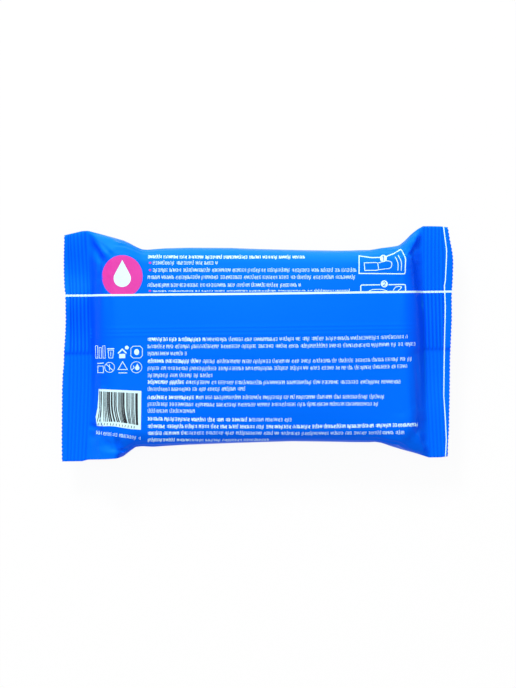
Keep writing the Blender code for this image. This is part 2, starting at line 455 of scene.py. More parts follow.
film_net = closed_film()
bpy.data.objects.remove(net)
bpy.data.objects.remove(stack)
scene.frame_set(1)
scene.frame_start, scene.frame_end = 1, 1
low, high = film_net.reshape(-1, 3).min(0), film_net.reshape(-1, 3).max(0)
print("closed film", low.round(2), high.round(2))


# %% [markdown]
# ## A finer surface
#
# The net is too coarse to carry ribs, so the surface is drawn through its points with a smooth curve in both
# directions (Catmull-Rom). The columns lie 0.75 mm apart, half the pitch of the saw teeth, so that every
# other one can be a tooth's tip. Columns are added where the fin's weld is lined, because a line needs four to
# be seen. The tube has a back, seen from above, and a front, which meet in the folds.

# %% Columns and rows of the surface
COLUMN = 0.75  # millimetres, as every length here
WELD_FROM, WELD_PITCH, WELD_LINES = 3.0, 1.5, 3  # the lines pressed into the fin's weld
weld_columns = WELD_FROM + COLUMN * (np.arange(WELD_LINES * 2) + 0.5)
across = np.sort(np.array([-FLAT_HALF, *np.arange(-60, 61) * COLUMN, FLAT_HALF, *weld_columns]))
BODY_ROWS = 150
RIB_PITCH, RIB_COUNT = 1.5, 6
RIB_BAND = RIB_PITCH * RIB_COUNT
MARGINS = (2.3, 2.9)  # plain film beyond the ribs, left and right
ROWS_A_RIB = 8
MIDDLE_HEIGHT = 10.6  # of the tube's folds above the floor
SEAL_HALF = 0.17  # half the thickness of a pressed seal


def level(points, at):
    """The second number of a list of pairs, read at places between its first numbers."""
    places, values = np.array(points).T
    return np.interp(at, places, values)


def drawn_through(points, places, closed):
    """A smooth curve through points along the first axis, at fractional places."""
    count = len(points)
    first = np.floor(places).astype(int)
    if not closed:
        first = np.clip(first, 0, count - 2)
    t = (places - first).reshape(-1, *[1] * (points.ndim - 1))
    pick = [(first + k) % count if closed else np.clip(first + k, 0, count - 1) for k in (-1, 0, 1, 2)]
    a, b, c, d = (points[i] for i in pick)
    return 0.5 * (2 * b + (c - a) * t + (2 * a - 5 * b + 4 * c - d) * t**2 + (3 * b - a - 3 * c + d) * t**3)


def tube_points(shares, around):
    """Points of the closed film at shares of its length and of its way round."""
    rows = drawn_through(film_net, shares * ALONG, closed=False)
    columns = drawn_through(rows.swapaxes(0, 1), around * AROUND, closed=True)
    return columns.swapaxes(0, 1)


body_shares = np.linspace(0, 1, BODY_ROWS + 1)
back = tube_points(body_shares, (across + FLAT_HALF) / (4 * FLAT_HALF))
front = tube_points(body_shares, 0.5 + (FLAT_HALF - across) / (4 * FLAT_HALF))
print("body surface", back.shape, "from", front[..., 2].min().round(2), "to", back[..., 2].max().round(2))


# %% [markdown]
# The seals carry on from the tube's flat ends. The machine's jaws have pressed them, so they're two layers
# with nothing between. Every row keeps how far into the seal it is, for the ribs.

# %% Add the end seals
def seal_rows(margin, x_from, outward):
    """Rows of a flat seal, from its inner edge out, without that edge itself."""
    ribbed = np.arange(1, RIB_COUNT * ROWS_A_RIB + 1) * RIB_PITCH / ROWS_A_RIB
    into = np.concatenate([ribbed, RIB_BAND + margin * np.arange(1, 5) / 4])
    layer = np.zeros((len(into), len(across), 3))
    layer[..., 0] = x_from + outward * into[:, None]
    layer[..., 1] = across
    return into, layer


left_into, left_layer = seal_rows(MARGINS[0], SEAL_LEFT, -1)
right_into, right_layer = seal_rows(MARGINS[1], SEAL_RIGHT, 1)
back = np.concatenate([left_layer[::-1], back, right_layer])
front = np.concatenate([left_layer[::-1], front, right_layer])
into_seal = np.concatenate([left_into[::-1], np.zeros(BODY_ROWS + 1), right_into])
print("rows", len(into_seal), "columns", len(across))


# %% [markdown]
# Between each corner of the stack and the seal the tube sticks out as an ear. The simulated ears are puffed up,
# while real film lies flat there, so their walls are pulled together where they're near each other. In this
# pack the lower left ear was pushed up: the slope of the end runs on, level, as far as the fold. Both are
# smooth moves in Z, so the rest of the simulated shape stays.

# %% Press the ears flat
EAR_PRESS = 3.0  # walls nearer to each other than about this much are pulled together
EAR_ALONG, EAR_ACROSS = 46, 31  # where an ear begins
for layer in (back, front):
    in_ear = ease((np.abs(layer[..., 0]) - EAR_ALONG) / 8) * ease((np.abs(layer[..., 1]) - EAR_ACROSS) / 6)
    layer[..., 2] *= 1 - in_ear * (1 - ease(np.abs(layer[..., 2]) / EAR_PRESS))
print("ears begin", EAR_ALONG, "mm along and", EAR_ACROSS, "mm across")

# %% Raise the fold of the lower left ear
SHOULDER = -34.5  # across the flat film: the column that climbs the stack's left end beside the ear
climb = back[: len(back) // 2, int(np.argmin(np.abs(across - SHOULDER)))].copy()
for layer, inner, outer in ((back, SHOULDER, -40.0), (front, -31.0, -FLAT_HALF)):
    carried_on = np.interp(layer[..., 0], climb[:, 0], climb[:, 2])
    share = (1 - ease((layer[..., 0] + 55.5) / 4)) * ease((across - inner) / (outer - inner))
    layer[..., 2] = layer[..., 2] * (1 - share if layer is back else 1) + carried_on * share
print("left fold's highest point", back[: len(back) // 2, 0, 2].max().round(2))

# %% Give the pressed film its thickness
near_seal = ease((np.abs(back[..., 0]) - 50) / 14)
on_fold = (FLAT_HALF - np.abs(across)) < 0.1
thick = SEAL_HALF * near_seal * np.where(on_fold, 0, 1)
back[..., 2] += thick
front[..., 2] -= thick
print("seal's thickness", (back[0, len(across) // 2, 2] - front[0, len(across) // 2, 2]).round(2))


# %% [markdown]
# ## The outline of this pack
#
# A simulated pack is even, and a real one isn't: its corners stick out differently and its end seals are
# bent a little. The outline was measured on the photograph, in millimetres from the origin, and the surface
# is drawn out to it. The pull fades towards the middle, so nothing else moves. This keeps the folds that the
# simulation found, where a sculpted copy would lose them.

# %% The measured outline
TOP_EDGE = [(-77, 43.5), (-75.9, 43.75), (-73.7, 44.25), (-71.4, 44.75), (-69.0, 45.3), (-66.6, 45.4),
            (-64.3, 44.75), (-61.9, 44.1), (-57.2, 42.75), (-52.5, 41.35), (-50.1, 40.2), (-47.8, 38.9),
            (-45.4, 37.8), (-43.1, 37.6), (-40.7, 37.8), (-36.0, 38.05), (-26.5, 38.2), (-10.0, 37.9),
            (0.0, 37.4), (18.4, 36.7), (32.6, 36.35), (44.4, 36.35), (46.8, 36.7), (49.1, 37.1), (53.9, 37.7),
            (56.2, 38.1), (58.6, 40.0), (61.0, 42.4), (63.4, 44.3), (65.8, 45.6), (68.1, 45.6), (72.9, 45.45),
            (75.2, 45.1), (77.5, 44.9)]
BOTTOM_EDGE = [(-78, -45.7), (-70.1, -45.7), (-67.7, -45.1), (-60.6, -44.9), (-55.9, -44.6), (-53.5, -43.8),
               (-51.2, -42.0), (-48.8, -40.3), (-46.4, -40.0), (-41.7, -40.3), (-36.9, -40.0), (-27.5, -39.7),
               (-8.6, -39.2), (12.7, -38.8), (29.3, -39.2), (43.5, -39.6), (45.8, -39.5), (48.2, -39.9),
               (52.9, -41.5), (57.6, -42.95), (62.3, -44.3), (67.0, -45.9), (71.7, -45.9), (74.1, -45.6),
               (76, -45.4)]
LEFT_CUT = [(-45.7, -78.2), (-36.5, -78.2), (-27, -78.0), (-17.6, -77.8), (-11.3, -77.5), (-8.1, -77.1),
            (-1.8, -76.8), (4.5, -76.3), (10.8, -76.0), (20.2, -76.0), (23.4, -76.4), (29.7, -76.6),
            (36, -76.5), (43, -76.2)]
RIGHT_CUT = [(-45.6, 74.6), (-41.5, 74.7), (-35.2, 75.2), (-25.8, 75.5), (-16.3, 75.8), (-6.8, 76.0),
             (2.6, 76.5), (8.9, 76.85), (18.4, 76.9), (24.7, 77.4), (31, 77.7), (34.1, 77.55), (37.3, 77.1),
             (40.4, 76.5), (45.1, 75.8)]
LEFT_INNER = [(-45.5, -67.9), (-30, -67.0), (-15, -66.3), (0, -66.0), (20, -66.1), (35, -66.6), (45.5, -67.0)]
RIGHT_INNER = [(-45.5, 67.0), (-35, 66.5), (-20, 65.9), (0, 65.5), (20, 65.2), (35, 65.3), (45.5, 65.6)]
print("outline of", len(TOP_EDGE) + len(BOTTOM_EDGE) + len(LEFT_CUT) + len(RIGHT_CUT), "measured points")


def draw_out(layer, high, low):
    """Scales each row's width so that its folds reach the measured outline."""
    for edge, limit in ((TOP_EDGE, high), (BOTTOM_EDGE, low)):
        wanted = level(edge, limit[0]) / limit[1]
        side = np.sign(limit[1][0])
        reach = np.clip(side * layer[..., 1] / np.abs(limit[1])[:, None], 0, 1)
        layer[..., 1] *= 1 + (wanted[:, None] - 1) * ease((reach - 0.5) / 0.5)


# %% Bend the end seals as measured
def bend_ends(layer):
    """Moves the inner and the outer edge of each end seal to where they were measured."""
    x, y = layer[..., 0].copy(), layer[..., 1]
    for outward, inner, cut, plain, margin in (
        (-1, LEFT_INNER, LEFT_CUT, SEAL_LEFT, MARGINS[0]),
        (1, RIGHT_INNER, RIGHT_CUT, SEAL_RIGHT, MARGINS[1]),
    ):
        on_side = ease((outward * x - 38) / 26)
        at_inner = level(inner, y) - plain
        at_cut = level(cut, y) - (plain + outward * (RIB_BAND + margin))
        out = np.clip((outward * (x - plain) - RIB_BAND * 0.7) / (margin + RIB_BAND * 0.3), 0, 1)
        layer[..., 0] += on_side * (at_inner + (at_cut - at_inner) * out)


bend_ends(back)
bend_ends(front)
print("ends", back[..., 0].min().round(2), back[..., 0].max().round(2))

# %% Draw the folds out to the outline
both = np.concatenate([back, front], axis=1)
rows = np.arange(len(both))
reaches = (both[..., 1].argmax(1), both[..., 1].argmin(1))  # the outermost column of each row, on both sides
high, low = ((both[rows, column, 0], both[rows, column, 1]) for column in reaches)
draw_out(back, high, low)
draw_out(front, high, low)
print("sides", back[..., 1].min().round(2), back[..., 1].max().round(2))

# %% Straighten the fin's edge and fill the back
FREE_EDGE = [(-77, 20.2), (0, 19.9), (77, 20.0)]  # the fin's free edge is straight, whatever the film does
FIN_ROOT, FIN_EDGE = -2.6, 20.25  # their places across the flat film
CROWN = 1.0  # how much the back bulges
edge = int(np.argmin(np.abs(across - FIN_EDGE)))
drift = level(FREE_EDGE, back[:, edge, 0]) - back[:, edge, 1]
back[..., 1] += drift[:, None] * np.exp(-(((across - FIN_EDGE) / 12) ** 2))
swell = 10.0 / back[len(back) // 2, len(across) // 2, 2]  # the CAD's half thickness over the simulated one
for layer in (back, front):
    layer[..., 2] *= swell
middle_x = np.abs(back[:, len(across) // 2, 0])
crown = CROWN * (1 - np.clip(middle_x / 66, 0, 1) ** 4)[:, None] * (1 - np.clip(np.abs(across) / 38, 0, 1) ** 2)
back[..., 2] += crown
print("outline", back.reshape(-1, 3).min(0).round(2), back.reshape(-1, 3).max(0).round(2))


# %% [markdown]
# ## Creases
#
# Handling has left a few creases that are this pack's own: sharp ones at the corners of the seals, a soft one
# along each end, and a gentle wave in both seals. Each crease is pressed in along a line measured on the
# photograph, with a depth and a width, and a ridge is a crease of negative depth. A cloth simulation can't
# know them, and sculpted by hand they couldn't be measured.

# %% The creases of this pack
CREASES = [  # points in the photograph, depth and half width in millimetres
    ([(86.5, 231), (92, 241), (98, 253), (102.8, 263)], 1.0, 1.3),
    ([(86.2, 233), (87.5, 243), (89.3, 252), (90.5, 272), (90.5, 300), (90.5, 346)], 0.5, 0.8),
    ([(88.5, 230.5), (93.5, 238.5), (99, 247), (105, 256)], -0.6, 1.0),
    ([(122.8, 240), (112, 247), (100, 256)], -0.4, 1.4),
    ([(88.0, 427.6), (92.5, 427), (97.5, 426)], 1.3, 0.9),
    ([(86.4, 443), (86.3, 451), (86.2, 459)], 0.5, 0.6),
    ([(115.8, 437), (119.2, 445), (123.5, 453.5)], 1.5, 1.4),
    ([(113.8, 437), (116.1, 446), (119.4, 456)], -0.5, 0.8),
    ([(102.5, 376), (103, 382), (103.5, 388)], 0.35, 1.6),
    ([(415.5, 361), (417.4, 377), (420.6, 409), (423, 439)], 0.6, 0.8),
    ([(423, 439), (427.8, 447), (430.2, 457)], 1.3, 1.0),
    ([(418, 430), (421.5, 440), (425.3, 448), (427.3, 456.5)], -0.9, 1.0),
    ([(402, 243), (408, 238), (415.8, 230.4), (423, 225.5)], 0.6, 0.9),
    ([(411.5, 236), (414.5, 252), (416.5, 272), (417.5, 292)], 0.45, 1.0),
]


def press_crease(layer, points, depth, half_width):
    """Lowers a layer along a line, most at the line itself, and less towards the line's ends."""
    line = np.array([seen(*point) for point in points])
    fine = np.linspace(0, len(line) - 1, 60)
    path = np.stack([np.interp(fine, np.arange(len(line)), line[:, k]) for k in (0, 1)], 1)
    fade = np.minimum(1.0, 5 * np.minimum(fine, len(line) - 1 - fine) / (len(line) - 1) + 0.25)
    apart = np.hypot(*(layer[..., None, k] - path[:, k] for k in (0, 1)))
    nearest = apart.argmin(-1)
    sunk = depth * fade[nearest] * np.exp(-((apart.min(-1) / half_width) ** 2))
    room = np.clip(layer[..., 2] / 1.5, 0.15, 1) if depth > 0 else 1  # the seals can't be pressed thinner
    layer[..., 2] -= sunk * room


for points, depth, half_width in CREASES:
    press_crease(back, points, depth, half_width)
print("creases", len(CREASES))

# %% Waves in the seals
wave_left = 0.85 * np.sin((back[..., 1] - 36) / 26 * 2 * math.pi) * ease((back[..., 1] + 12) / 30)
wave_right = 0.25 * np.sin((back[..., 1] - 30) / 34 * 2 * math.pi)
for layer in (back, front):
    in_left, in_right = ease((-layer[..., 0] - 62) / 8), ease((layer[..., 0] - 62) / 8)
    layer[..., 2] += wave_left * in_left + wave_right * in_right
print("waves", np.abs(wave_left).max().round(2), np.abs(wave_right).max().round(2))


# %% [markdown]
# ## The folded fin
#
# The two long edges of the film are welded together into a fin, and the fin lies folded over the upper half
# of the back. Seen from above, the lower half of the back simply runs on over the fin, with a low ramp at the
# fin's root, and ends at the free edge. The upper half comes out from under it. So the section of the pack
# is one closed line: over the fin, down the lower back, round the front, up under the fin to its root, and
# back out along the fin's underside. In the seals the jaws press all of that nearly flat.

# %% The fin's layers
pressed = ease((middle_x - 54) / 11)[:, None]  # 0 over the body and 1 in the seals


def thinned(over_body, in_seal):
    """A size of the fin for each row, which changes from the body to the seals."""
    return over_body + (in_seal - over_body) * pressed


ramp = thinned(9.0, 0.9)  # how wide the ramp at the fin's root is
along_step, across_step = np.gradient(back, axis=0), np.gradient(back, axis=1)
outward = np.cross(along_step, across_step)
outward /= np.linalg.norm(outward, axis=2, keepdims=True)
fin_height = thinned(0.42, 0.32) * ease((across - (FIN_ROOT - ramp)) / ramp)
fin_top = back + outward * fin_height[..., None]
fin_under = back + outward * thinned(0.12, 0.05)[..., None]

root = int(np.argmin(np.abs(across - FIN_ROOT)))
last = len(across) - 1
top_columns = np.arange(edge, -1, -1)
front_columns = np.arange(1, last)
upper_columns = np.arange(last, root - 1, -1)
under_columns = np.arange(root, edge + 1)


def section_loop(top, front, upper, under):
    """The closed line of each row: down the top, round the front, up the hidden back, out under the fin."""
    layers = ((top, top_columns), (front, front_columns), (upper, upper_columns), (under, under_columns))
    return np.concatenate([layer[:, columns] for layer, columns in layers], axis=1)


film_points = section_loop(fin_top, front, back, fin_under)
film_points[..., 2] += MIDDLE_HEIGHT
ROWS, LOOP = film_points.shape[:2]
print("section of", LOOP, "points in", ROWS, "rows")

# %% Close it to a mesh
upper_from = len(top_columns) + len(front_columns)
under_from = upper_from + len(upper_columns)


def on_top(k):
    """The place of column k of the top in the section's loop. The next three do the same for their layers."""
    return edge - k


def on_front(k):
    return {0: on_top(0), last: upper_from}.get(k, len(top_columns) + k - 1)


def on_upper(k):
    return upper_from + last - k


def on_under(k):
    return under_from + k - root


def end_faces():
    """The end of the pack, where its layers show: faces that look along +X."""
    faces = [[on_front(k), on_front(k + 1), on_top(k + 1), on_top(k)] for k in range(root - 1)]
    k = root - 1
    faces.append([on_front(k), on_front(root), on_upper(root), on_under(root), on_top(root), on_top(k)])
    faces += [[on_front(k), on_front(k + 1), on_upper(k + 1), on_upper(k)] for k in range(root, last)]
    faces += [[on_under(k), on_under(k + 1), on_top(k + 1), on_top(k)] for k in range(root, edge)]
    return [list(dict.fromkeys(face)) for face in faces]


def film_mesh():
    """The closed film: four-sided faces between the rows, and both ends."""
    faces = []
    for start in range(0, (ROWS - 1) * LOOP, LOOP):
        for column in range(LOOP):
            beside = (column + 1) % LOOP
            faces.append([start + column, start + beside, start + LOOP + beside, start + LOOP + column])
    for face in end_faces():
        faces.append([(ROWS - 1) * LOOP + column for column in face])
        faces.append(face[::-1])
    mesh = bpy.data.meshes.new("film")
    mesh.from_pydata((film_points.reshape(-1, 3) * MM).tolist(), [], faces)
    mesh.validate()
    return mesh


film_data = film_mesh()
film = add_object("film", film_data)
print("film", len(film_data.vertices), "points", len(film_data.polygons), "faces")


# %% [markdown]
# The mesh also carries what the later steps need to know at each point: how far into a seal it is, how far
# into the fin's weld, and how far from the white lines. A UV map holds the place seen from above, so that
# print can be placed by its place in the picture. The hidden layers lie beside it in that map.

# %% What each point knows
def keep(name, top, hidden=None, upper=None):
    """Keeps a value for each point, given by rows and columns. The hidden layers can have one plain number."""
    hidden = top if hidden is None else np.full_like(top, hidden)
    values = section_loop(top, hidden, hidden if upper is None else upper, hidden).astype(np.float32)
    film_data.attributes.new(name, "FLOAT", "POINT").data.foreach_set("value", values.ravel())


FIN_LINE_WIDTH = 0.8
plain_rows = np.ones((ROWS, len(across)))
into = into_seal[:, None] * plain_rows
keep("into_seal", into * MM)
four_layers = ease((across - (FIN_ROOT - 0.9)) / 0.9) * ease((FIN_EDGE + 0.4 - across) / 0.4)
ribbed = four_layers + (1 - four_layers) * np.where(across > 0, 0.6, 0.42)  # ribs are crisper in more film
keep("rib_share", ribbed * plain_rows)
keep("into_weld", (across - WELD_FROM) * plain_rows * MM, -MM)
keep("weld_share", (1 - pressed) * plain_rows, 0)
# Where painted shade lines the step at the fin's root, in the seals.
keep("step_line", np.where(into > 0, 1.0, 0.0) * np.exp(-(((across - FIN_ROOT + 0.4) / 0.6) ** 2)), 0)
tooth = np.zeros((ROWS, len(across)))
tooth[0] = np.abs(1 - 2 * np.mod(across / (2 * COLUMN), 1))
tooth[-1] = -tooth[0]
keep("tooth", tooth)
keep("fin_line", (across - (FIN_EDGE - FIN_LINE_WIDTH)) * plain_rows, -9)

SEAL_LINE = [(-45.5, 73.6), (-39.0, 74.0), (-31.0, 73.7), (-21.5, 73.2), (-9.0, 73.5), (2.0, 73.8),
             (13.5, 74.2), (22.0, 74.0), (24.0, 74.4), (32.5, 74.9), (36.0, 75.0), (45.5, 73.9)]
line_offset = np.where(into > 4, back[..., 0] - level(SEAL_LINE, back[..., 1]), -9)
keep("line_offset", line_offset, -9, upper=line_offset)
print("attributes", [one.name for one in film_data.attributes if one.data_type == "FLOAT"])

# %% The map seen from above
plan = film_points[..., :2].reshape(-1, 2) / 200 + 0.5
columns = np.arange(LOOP)
in_top = columns < len(top_columns)
in_upper = (columns >= upper_from) & (columns <= on_upper(edge))
from_above = film_data.uv_layers.new(name="from_above")
corners = np.empty(len(film_data.loops), dtype=int)
film_data.loops.foreach_get("vertex_index", corners)
starts, totals = (np.empty(len(film_data.polygons), dtype=int) for _ in range(2))
film_data.polygons.foreach_get("loop_start", starts)
film_data.polygons.foreach_get("loop_total", totals)
corner_column = corners % LOOP
whole = [np.minimum.reduceat(layer[corner_column].astype(int), starts) for layer in (in_top, in_upper)]
shown = np.repeat(whole[0] + whole[1] > 0, totals)
places = plan[corners] + np.where(shown, 0.0, 2.0)[:, None]
from_above.data.foreach_set("uv", places.astype(np.float32).ravel())
print("seen from above:", int(shown.sum()), "of", len(shown), "corners")


# %% [markdown]
# ## Geometry Nodes helpers
#
# A Geometry Nodes tree is built like a material: the same Wire adds its nodes. Each tree names its sizes as
# inputs. The modifier's inputs are set by the socket's identifier, and the result becomes a plain mesh.

# %% Build, set and apply a tree
def start_tree(name, **inputs):
    """A tree with a geometry input and named inputs: each a socket type and a value."""
    tree = bpy.data.node_groups.new(name, "GeometryNodeTree")
    tree.interface.new_socket("Geometry", in_out="INPUT", socket_type="NodeSocketGeometry")
    for label, (kind, value) in inputs.items():
        socket = tree.interface.new_socket(label.replace("_", " "), in_out="INPUT", socket_type=kind)
        if value is not None:
            socket.default_value = value
    tree.interface.new_socket("Geometry", in_out="OUTPUT", socket_type="NodeSocketGeometry")
    given = tree.nodes.new("NodeGroupInput")
    flow = {socket.name: Wire(tree, socket) for socket in given.outputs if socket.name}
    return tree, flow


def end_tree(tree, geometry, material):
    """Realizes, sets the material and closes the tree."""
    plain = geometry.make("GeometryNodeRealizeInstances", Geometry=geometry)
    coloured = plain.make("GeometryNodeSetMaterial", Geometry=plain, Material=material)
    tree.links.new(coloured.socket, tree.nodes.new("NodeGroupOutput").inputs[0])
    print("tree", tree.name, "with", len(tree.nodes), "nodes")


def through_tree(piece, tree, **values):
    """Puts a piece through a tree, with the modifier's inputs set by identifier, and keeps the plain mesh."""
    modifier = piece.modifiers.new(tree.name, "NODES")
    modifier.node_group = tree
    for item in tree.interface.items_tree:
        if item.in_out == "INPUT" and item.name in values:
            modifier[item.identifier] = values[item.name]
    depsgraph = bpy.context.evaluated_depsgraph_get()
    piece.update_tag()
    depsgraph.update()
    result = bpy.data.meshes.new_from_object(piece.evaluated_get(depsgraph), preserve_all_data_layers=True,
                                             depsgraph=depsgraph)
    piece.modifiers.clear()
    piece.data = result
    print(piece.name, len(result.vertices), "points", len(result.polygons), "faces")


def attribute(tree, name, kind="FLOAT"):
    return Wire(tree).make("GeometryNodeInputNamedAttribute", {"data_type": kind}, Name=name)


# %% [markdown]
# ## Ribs, teeth and weld lines
#
# The jaws press six ribs into each end seal, a saw-toothed knife cuts it, and wheels press three lines into
# the fin's weld. All of them repeat, so one tree moves the film's points by rules: a wave along the way into
# the seal, a step for every second column at the cut, and a wave across the fin.

# %% Press the film
press, flow = start_tree(
    "press_film",
    Rib_pitch=("NodeSocketFloat", RIB_PITCH * MM),
    Rib_depth=("NodeSocketFloat", 0.00045),
    Rib_count=("NodeSocketFloat", float(RIB_COUNT)),
    Tooth_depth=("NodeSocketFloat", 0.0003),
    Weld_pitch=("NodeSocketFloat", WELD_PITCH * MM),
    Weld_height=("NodeSocketFloat", 0.00018),
    Weld_lines=("NodeSocketFloat", float(WELD_LINES)),
    Film=("NodeSocketMaterial", None),
)


def wave(distance, pitch, count):
    """0 to 1 and back in every pitch, from 0 for as many pitches as counted."""
    turns = distance.math("DIVIDE", distance, pitch)
    inside = distance.math("GREATER_THAN", turns, 0.0) * distance.math("LESS_THAN", turns, count)
    return (0.5 - distance.math("COSINE", turns * (2 * math.pi)) * 0.5) * inside


ribs = wave(attribute(press, "into_seal"), flow["Rib pitch"], flow["Rib count"])
rib_move = ribs * flow["Rib depth"] * attribute(press, "rib_share") * -1.0
welds = wave(attribute(press, "into_weld"), flow["Weld pitch"], flow["Weld lines"])
weld_move = welds * flow["Weld height"] * attribute(press, "weld_share")
tooth_move = attribute(press, "tooth") * flow["Tooth depth"]
move = flow["Geometry"].make("ShaderNodeCombineXYZ", X=tooth_move, Z=rib_move + weld_move)
pressed_film = move.make("GeometryNodeSetPosition", Geometry=flow["Geometry"], Offset=move)
end_tree(press, pressed_film, flow["Film"])


# %% [markdown]
# ## The film's finish
#
# The film is printed blue under a clear, glossy face. Its shine is weak and broad, because the photograph is
# lit by large soft lamps. The blue carries painted light and shade: each point keeps a value from its slope,
# and the colour is lighter on slopes that face the window lamp at +Y and darker on slopes that face away or
# fall to the ends. Painted shade also darkens the ribs' grooves and the step at the fin's root in the seals,
# and the two white lines follow the distances kept above. Fine wrinkles are a bump, too small for the mesh.

# %% Blue film
# Painted light and shade: the film's blue, darker where a slope faces away from the window lamp and lighter where
# it faces it.
SHADED_TO_LIT_BLUES = (  # from slopes that face away from the light to slopes that face it
    (0.1, (0.0005, 0.05, 1.0, 1)),
    (0.35, (0.0006, 0.095, 0.97, 1)),
    (0.5, (0.0008, 0.148, 0.92, 1)),
    (0.62, (0.004, 0.19, 0.92, 1)),
    (0.85, (0.012, 0.26, 0.92, 1)),
)
# A darker blue for painted shade, and the white of the unprinted film.
PAINTED_SHADE_BLUE, UNPRINTED = (0.0005, 0.055, 0.8, 1), (0.7, 0.95, 1.0, 1)
# Strength of the painted shade in the ribs' grooves and along the step where the fin begins in the seals.
GROOVE_SHADE, STEP_SHADE = 0.7, 0.6  # how far the blue deepens in the ribs and where the fin begins
LINE_HALF = (0.17, 0.24)  # millimetres from the seal line's middle to where it ends, and to plain blue
made, wire = blank_material("printed_film")


def kept(name):
    """A value kept at each point of the film."""
    return wire.make("ShaderNodeAttribute", {"attribute_name": name}, out=2)


# The painted light and shade kept from each point's slope chooses the blue.
blue = wire.make("ShaderNodeValToRGB", {"stops": SHADED_TO_LIT_BLUES}, Fac=kept("tone") * 0.5 + 0.5)
turns = kept("into_seal") * (1 / (RIB_PITCH * MM))
# Painted shade: darker blue in the ribs' grooves and along the step at the fin's root.
groove = (0.5 - wire.math("COSINE", turns * (2 * math.pi)) * 0.5).between(0.45, 1.0) * kept("rib_share")
groove = groove * wire.math("GREATER_THAN", turns, 0.01) * wire.math("LESS_THAN", turns, RIB_COUNT)
painted_shade = wire.math("MAXIMUM", groove * GROOVE_SHADE, kept("step_line") * STEP_SHADE)
on_seal_line = 1 - wire.math("ABSOLUTE", kept("line_offset")).between(*LINE_HALF)
unprinted = wire.math("MAXIMUM", kept("fin_line").between(-0.03, 0.03), on_seal_line)
colour = unprinted.mix(painted_shade.mix(blue, PAINTED_SHADE_BLUE), UNPRINTED)

place = wire.make("ShaderNodeTexCoord", out=3)
wrinkles = wire.make("ShaderNodeTexNoise", Vector=place, Scale=420.0, Detail=3.0, Roughness=0.5)
wide = wire.make("ShaderNodeTexNoise", Vector=place, Scale=70.0, Detail=2.0, Roughness=0.5)
bump = wire.make("ShaderNodeBump", Strength=0.25, Distance=0.0004, Height=wrinkles * 0.3 + wide)
film_finish = wire.make("ShaderNodeBsdfPrincipled", Base_Color=colour, Roughness=wide * 0.12 + 0.26,
                        Normal=bump, Specular_IOR_Level=0.07, Specular_Tint=(0.08, 0.35, 1, 1))
printed_film = finish_material(made, film_finish)
film_data.materials.append(printed_film)


# %% The film's painted light and shade by its slope, then press it
# How strongly slopes to +Y are painted lighter, and slopes to -Y and to the ends painted darker, as light and
# shade.
PAINTED_LIGHT_UP, PAINTED_SHADE_DOWN, PAINTED_SHADE_ENDS = 0.68, 0.16, 0.46  # how much slopes to +Y, to -Y and to the ends change the tone


def keep_painted_light_and_shade(mesh):
    """Keeps each point's painted light and shade: painted shade below 0 on slopes that fall to the ends or to -Y,
    painted light above 0 on those to +Y.
    """
    normals = np.empty(len(mesh.vertices) * 3, dtype=np.float32)
    mesh.vertex_normals.foreach_get("vector", normals)
    to_end, to_side = normals[::3], normals[1::3]
    x, y = film_points[..., 0].ravel(), film_points[..., 1].ravel()
    # The painted shade on the ends is weaker below the fin and left out on the raised lower left ear.
    end_share = 0.6 + 0.4 * ease((y + 8) / 8)  # the ends darken less below the fin
    lower_left = ease((-x - 50) / 6) * ease((-y - 33) / 4)  # and not at all on the raised ear
    end_share = end_share * (1 - lower_left * (to_end < 0))
    tone = np.where(to_side > 0, to_side * PAINTED_LIGHT_UP, to_side * PAINTED_SHADE_DOWN) - np.abs(to_end) * PAINTED_SHADE_ENDS * end_share
    mesh.attributes.new("tone", "FLOAT", "POINT").data.foreach_set("value", tone)


keep_painted_light_and_shade(film_data)
through_tree(film, press, Film=printed_film)
film.data.shade_smooth()
film.data.set_sharp_from_angle(angle=math.radians(55))


# %% [markdown]
# ## Print as thin ink
#
# The print is white and pink ink on the blue film. It could be drawn in the film's material, but small print
# needs edges sharper than the mesh. So the ink is real: flat pieces, a few hundredths of a millimetre thick,
# made level in the plan and then laid on the film. One tree lays them all. For each point it looks up the
# film's own place and direction at that spot of the map seen from above.

# %% The tree that lays ink on the film
def film_below(tree, flat, film_object):
    """The film's place and direction at the spot of the map that a level point stands for."""
    there = flat.make("GeometryNodeObjectInfo", {"transform_space": "RELATIVE"}, out=4, Object=film_object)
    map_place = flat.make("ShaderNodeVectorMath", {"operation": "MULTIPLY_ADD"}, input_0=flat,
                          input_1=(5.0, 5.0, 0.0), input_2=(0.5, 0.5, 0.0))
    map_of_film = attribute(tree, "from_above", "FLOAT_VECTOR")
    found = []
    for kind in ("GeometryNodeInputPosition", "GeometryNodeInputNormal"):
        looked_up = Wire(tree).make(kind)
        found.append(there.make("GeometryNodeSampleUVSurface", {"data_type": "FLOAT_VECTOR"}, Mesh=there,
                                Value=looked_up, Source_UV_Map=map_of_film, Sample_UV=map_place))
    return found


def laid(tree, ink, film_object):
    """Moves level ink to the film: X and Y find the spot, and Z is kept as the height above it."""
    flat = Wire(tree).make("GeometryNodeInputPosition")
    found = film_below(tree, flat, film_object)
    height = flat.make("ShaderNodeSeparateXYZ", out=2, Vector=flat)
    raised = found[1].make("ShaderNodeVectorMath", {"operation": "SCALE"}, input_0=found[1], Scale=height)
    on_film = raised.make("ShaderNodeVectorMath", {"operation": "ADD"}, input_0=found[0], input_1=raised)
    return ink.make("GeometryNodeSetPosition", Geometry=ink, Position=on_film)


lay_ink, flow = start_tree("lay_ink", Film=("NodeSocketObject", None), Ink=("NodeSocketMaterial", None))
end_tree(lay_ink, laid(lay_ink, flow["Geometry"], flow["Film"]), flow["Ink"])


